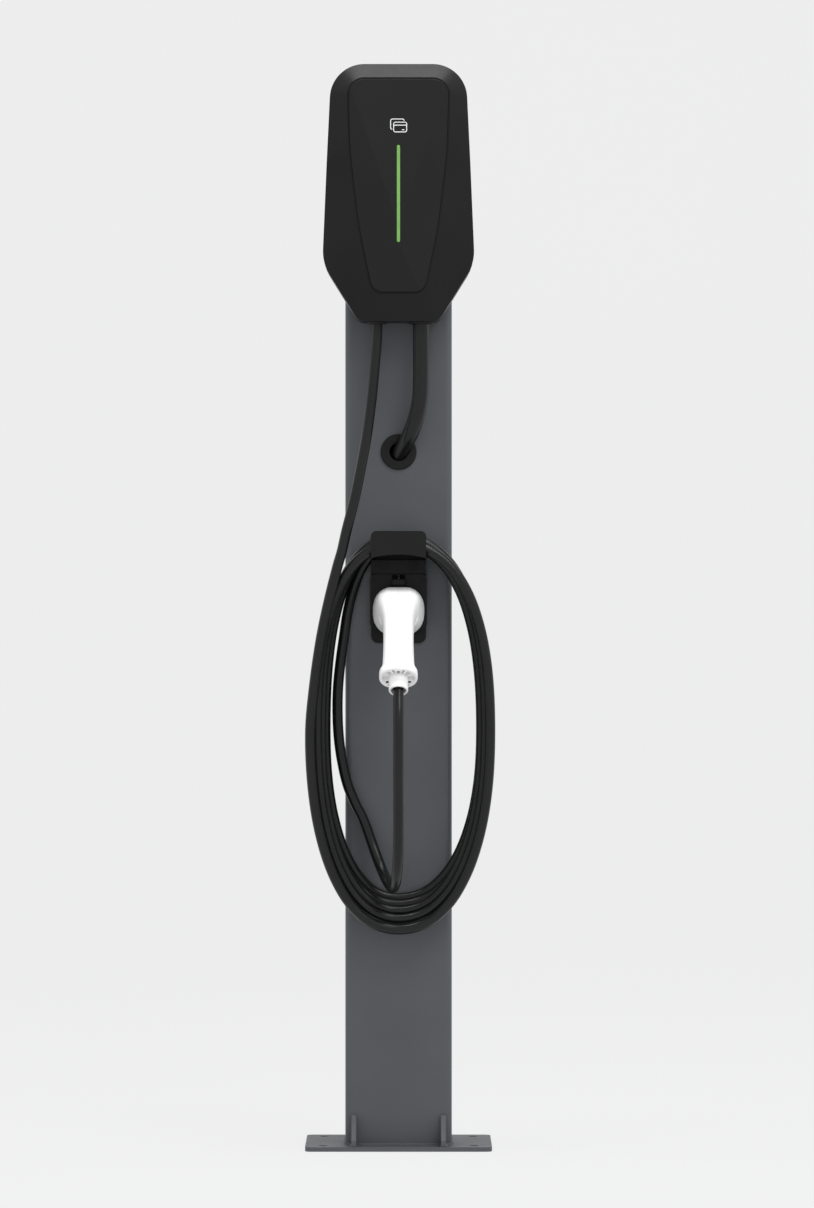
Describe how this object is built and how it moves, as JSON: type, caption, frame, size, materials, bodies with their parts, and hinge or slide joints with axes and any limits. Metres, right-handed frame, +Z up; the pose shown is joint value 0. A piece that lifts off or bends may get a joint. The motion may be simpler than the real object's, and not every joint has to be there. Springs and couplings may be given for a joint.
{
  "type": "ev charging post",
  "caption": "Free-standing vehicle charging post: steel column on a flanged foot, tapered wall box, hook with hung cable, holstered connector.",
  "frame": {"origin": "centre of the base plate's underside", "axes": "+Z up along the column; -Y is the front, where the wall box, hook and connector are; +X to the right seen from the front"},
  "size_m": [0.254, 0.3106, 1.45],
  "materials": {
    "powder_coated_steel": "fine-textured grey powder coat",
    "black_plastic": "satin moulded black plastic with a fine grain",
    "satin_panel": "smooth satin black, bevelled facets",
    "light_diffuser": "green light guide",
    "black_steel": "satin black coat",
    "rubber": "matt black rubber",
    "cable_jacket": "satin black cable jacket",
    "zinc_steel": "zinc-plated steel",
    "circuit_board": "green solder mask",
    "white_plastic": "satin white moulding",
    "nose_plastic": "black glass-filled moulding",
    "contact_brass": "silver-plated brass"
  },
  "bodies": {
    "post": {"base_plate": "powder_coated_steel", "column_shell": "powder_coated_steel", "column_top_cap": "black_plastic", "rib_front_left": "powder_coated_steel", "rib_front_right": "powder_coated_steel", "rib_rear_left": "powder_coated_steel", "rib_rear_right": "powder_coated_steel", "cable_grommet": "rubber", "supply_cable": "cable_jacket", "wallbox_bracket": "zinc_steel", "bracket_screw_lower": "zinc_steel", "bracket_screw_upper": "zinc_steel", "rear_housing": "black_plastic", "housing_gasket": "rubber", "front_cover": "black_plastic", "front_panel": "satin_panel", "light_bar": "light_diffuser", "light_board": "circuit_board", "card_reader_board": "circuit_board", "main_board": "circuit_board", "power_relay": "black_plastic", "terminal_block": "circuit_board", "current_sensor": "black_plastic", "lead_exit_sleeve": "rubber", "lead_exit_nut": "black_plastic", "supply_exit_sleeve": "rubber", "supply_exit_nut": "black_plastic", "cover_screw_1": "zinc_steel", "cover_screw_2": "zinc_steel", "cover_screw_3": "zinc_steel", "cover_screw_4": "zinc_steel", "hook_bracket": "black_steel", "hook_screw_left": "black_steel", "hook_screw_right": "black_steel", "holster_housing": "black_plastic", "holster_screw_1": "black_steel", "holster_screw_2": "black_steel", "holster_screw_3": "black_steel", "holster_screw_4": "black_steel", "latch_pin": "zinc_steel", "latch_spring": "zinc_steel", "charging_cable_lead": "cable_jacket", "charging_cable_coil": "cable_jacket", "charging_cable_tail": "cable_jacket"},
    "connector": {"connector_shell_left": "white_plastic", "connector_shell_right": "white_plastic", "connector_nose": "nose_plastic", "contact_line": "contact_brass", "contact_neutral": "contact_brass", "contact_earth": "contact_brass", "contact_pilot": "contact_brass", "contact_proximity": "contact_brass", "nose_seal": "rubber", "end_cap": "white_plastic", "end_cap_screw_1": "zinc_steel", "end_cap_screw_2": "zinc_steel", "end_cap_screw_3": "zinc_steel", "cable_collar": "white_plastic"},
    "latch": {"latch_tongue": "black_plastic"}
  },
  "joints": [
    {"name": "connector_pull", "type": "slide", "parent": "post", "child": "connector", "axis": [0, -1, 0], "range_m": [0, 0.065], "deforming": ["charging_cable_tail"]},
    {"name": "latch_tilt", "type": "hinge", "parent": "post", "child": "latch", "pos_m": [0, -0.04, 0.76], "axis": [-1, 0, 0], "range_deg": [0, 8], "stiffness_Nm_per_rad": 0.15, "springref_deg": -8.59, "deforming": ["latch_spring"]}
  ]
}
